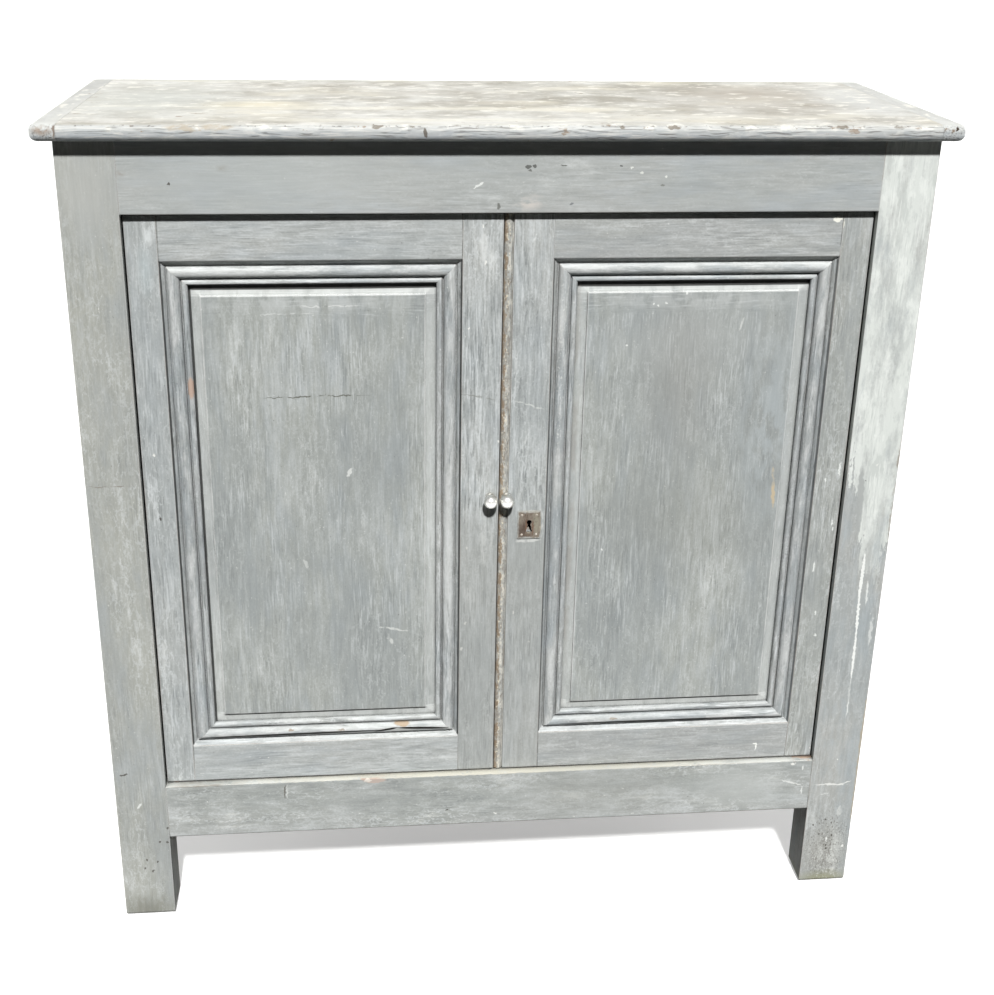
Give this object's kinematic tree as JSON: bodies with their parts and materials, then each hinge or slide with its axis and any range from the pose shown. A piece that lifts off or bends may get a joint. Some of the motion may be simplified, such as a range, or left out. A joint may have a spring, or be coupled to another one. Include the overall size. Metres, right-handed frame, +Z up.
{
  "type": "jelly cupboard",
  "caption": "Low painted cupboard on post feet, with panelled doors on pivot pins, ball knobs, a lock and shelves inside.",
  "frame": {"origin": "floor under the middle of the top", "axes": "+Z up, +Y from the doors to the back, +X to the right of someone facing the doors"},
  "size_m": [1.198, 0.408, 1.236],
  "materials": {
    "grey_paint": "brushed grey paint, worn",
    "worn_top_paint": "off-white paint worn to the wood",
    "bare_wood": "bare, aged, matte",
    "polished_nickel": "polished",
    "rusty_iron": "rusted, matte"
  },
  "bodies": {
    "carcass": {"back_board_1": "bare_wood", "back_board_2": "bare_wood", "back_board_3": "bare_wood", "back_board_4": "bare_wood", "door_stops": "bare_wood", "floor_cleats": "bare_wood", "front_bottom_rail": "grey_paint", "front_floor_board": "bare_wood", "front_left_post": "grey_paint", "front_right_post": "grey_paint", "front_top_rail": "grey_paint", "left_bottom_side_rail": "grey_paint", "left_side_panel": "grey_paint", "left_top_end_cleat": "worn_top_paint", "left_top_side_rail": "grey_paint", "lower_pivot_pins": "rusty_iron", "lower_shelf": "bare_wood", "middle_shelf": "bare_wood", "rear_bottom_rail": "bare_wood", "rear_floor_board": "bare_wood", "rear_left_post": "grey_paint", "rear_right_post": "grey_paint", "rear_top_rail": "bare_wood", "right_bottom_side_rail": "grey_paint", "right_side_panel": "grey_paint", "right_top_end_cleat": "worn_top_paint", "right_top_side_rail": "grey_paint", "shelf_cleats": "bare_wood", "top_front_board": "worn_top_paint", "top_rear_board": "worn_top_paint", "upper_pivot_pins": "rusty_iron", "upper_shelf": "bare_wood"},
    "left_door": {"left_door_bolt_plate": "rusty_iron", "left_door_bottom_moulding": "grey_paint", "left_door_bottom_rail": "grey_paint", "left_door_hinge_side_moulding": "grey_paint", "left_door_hinge_stile": "grey_paint", "left_door_knob": "polished_nickel", "left_door_meeting_side_moulding": "grey_paint", "left_door_meeting_stile": "grey_paint", "left_door_panel": "grey_paint", "left_door_top_moulding": "grey_paint", "left_door_top_rail": "grey_paint"},
    "right_door": {"right_door_bottom_moulding": "grey_paint", "right_door_bottom_rail": "grey_paint", "right_door_hinge_side_moulding": "grey_paint", "right_door_hinge_stile": "grey_paint", "right_door_knob": "polished_nickel", "right_door_meeting_bead": "grey_paint", "right_door_meeting_side_moulding": "grey_paint", "right_door_meeting_stile": "grey_paint", "right_door_panel": "grey_paint", "right_door_top_moulding": "grey_paint", "right_door_top_rail": "grey_paint", "keyhole_plate": "rusty_iron", "lock_case": "rusty_iron"},
    "lock_bolt": {"lock_bolt": "rusty_iron"},
    "left_door_bolt": {"left_door_bolt": "rusty_iron"}
  },
  "joints": [
    {"name": "left_door_hinge", "type": "hinge", "parent": "carcass", "child": "left_door", "pos_m": [-0.485, -0.164, 0.67675], "axis": [0, 0, -1], "range_deg": [0, 105]},
    {"name": "right_door_hinge", "type": "hinge", "parent": "carcass", "child": "right_door", "pos_m": [0.485, -0.164, 0.67675], "axis": [0, 0, 1], "range_deg": [0, 105]},
    {"name": "lock_bolt_slide", "type": "slide", "parent": "right_door", "child": "lock_bolt", "axis": [-1, 0, 0], "range_m": [0, 0.016]},
    {"name": "left_door_bolt_slide", "type": "slide", "parent": "left_door", "child": "left_door_bolt", "axis": [0, 0, 1], "range_m": [0, 0.016]}
  ]
}
